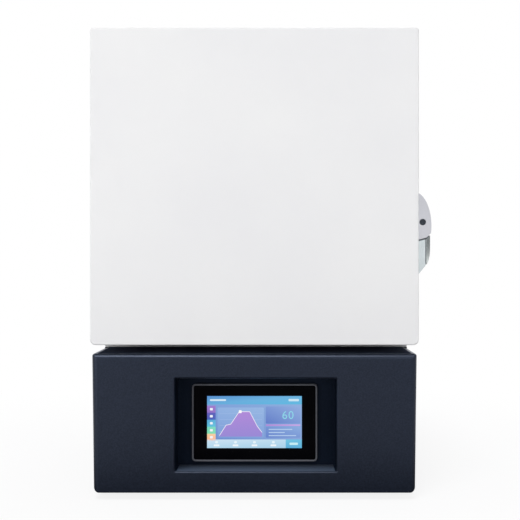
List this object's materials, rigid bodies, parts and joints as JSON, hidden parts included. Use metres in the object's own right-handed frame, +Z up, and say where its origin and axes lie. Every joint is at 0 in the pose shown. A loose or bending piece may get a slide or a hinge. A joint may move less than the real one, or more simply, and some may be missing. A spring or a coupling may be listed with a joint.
{
  "type": "dental lab furnace",
  "caption": "Bench-top furnace for sintering dental crowns: insulated chamber with a side-hinged latched door, on a base with a recessed touch panel.",
  "frame": {"origin": "centre of the whole outline, hinges and latch included, on the surface it stands on", "axes": "+Z up, -Y out of the front face, +X to the right seen from the front, where the latch is"},
  "size_m": [0.3944, 0.447, 0.523],
  "materials": {
    "white_powder_coat": "satin",
    "dark_powder_coat": "matte",
    "galvanised_steel": "satin",
    "chrome_plate": "polished",
    "aluminium": "satin",
    "rubber": "matte",
    "black_plastic": "matte",
    "grey_plastic": "satin",
    "screen_glass": "gloss",
    "fibre_board": "matte",
    "alumina": "matte",
    "silicide": "satin",
    "circuit_board": "gloss",
    "transformer_winding": "satin"
  },
  "bodies": {
    "cabinet": {"housing_shell": "white_powder_coat", "housing_rear_panel": "white_powder_coat", "rear_cover": "white_powder_coat", "base_shell": "dark_powder_coat", "base_rear_panel": "dark_powder_coat", "base_tray": "galvanised_steel", "housing_front_plate": "galvanised_steel", "latch_keeper": "galvanised_steel", "hinge_leaf_upper": "galvanised_steel", "hinge_leaf_lower": "galvanised_steel", "hinge_pin_upper": "galvanised_steel", "hinge_pin_lower": "galvanised_steel", "fan_guard": "chrome_plate", "heat_sink": "aluminium", "element_strap_1": "aluminium", "element_strap_2": "aluminium", "element_strap_3": "aluminium", "foot_front_left": "rubber", "foot_front_right": "rubber", "foot_rear_left": "rubber", "foot_rear_right": "rubber", "hmi_case": "black_plastic", "power_controller": "black_plastic", "breaker_body": "black_plastic", "mains_inlet": "black_plastic", "fan_frame": "black_plastic", "thermal_break_plate": "black_plastic", "door_sensor": "black_plastic", "hmi_bezel": "grey_plastic", "hmi_screen": "screen_glass", "insulation_floor": "fibre_board", "insulation_roof": "fibre_board", "insulation_left": "fibre_board", "insulation_right": "fibre_board", "insulation_rear": "fibre_board", "hearth_plate": "alumina", "thermocouple": "alumina", "element_holder_1": "alumina", "element_holder_2": "alumina", "element_holder_3": "alumina", "element_holder_4": "alumina", "heating_element_1": "silicide", "heating_element_2": "silicide", "heating_element_3": "silicide", "heating_element_4": "silicide", "control_board": "circuit_board", "transformer": "transformer_winding"},
    "door": {"door_shell": "white_powder_coat", "door_back_plate": "galvanised_steel", "door_insulation": "fibre_board", "door_plug": "fibre_board", "door_gasket": "fibre_board", "door_magnet": "galvanised_steel", "door_hinge_upper": "galvanised_steel", "door_hinge_lower": "galvanised_steel", "latch_base": "chrome_plate", "latch_pin": "galvanised_steel"},
    "lever": {"latch_lever": "chrome_plate"},
    "fan": {"fan_rotor": "black_plastic"},
    "toggle": {"breaker_toggle": "grey_plastic"}
  },
  "joints": [
    {"name": "door_swing", "type": "hinge", "parent": "cabinet", "child": "door", "pos_m": [-0.19215, -0.145, 0.3472], "axis": [0, 0, -1], "range_deg": [0, 120]},
    {"name": "latch_swing", "type": "hinge", "parent": "door", "child": "lever", "pos_m": [0.18725, -0.1715, 0.30923], "axis": [0, -1, 0], "range_deg": [0, 70]},
    {"name": "fan_spin", "type": "hinge", "parent": "cabinet", "child": "fan", "pos_m": [0.10395, 0.1927, 0.08515], "axis": [0, 1, 0], "continuous": true},
    {"name": "breaker_throw", "type": "hinge", "parent": "cabinet", "child": "toggle", "pos_m": [-0.12905, 0.2095, 0.08515], "axis": [1, 0, 0], "range_deg": [0, 80]}
  ]
}
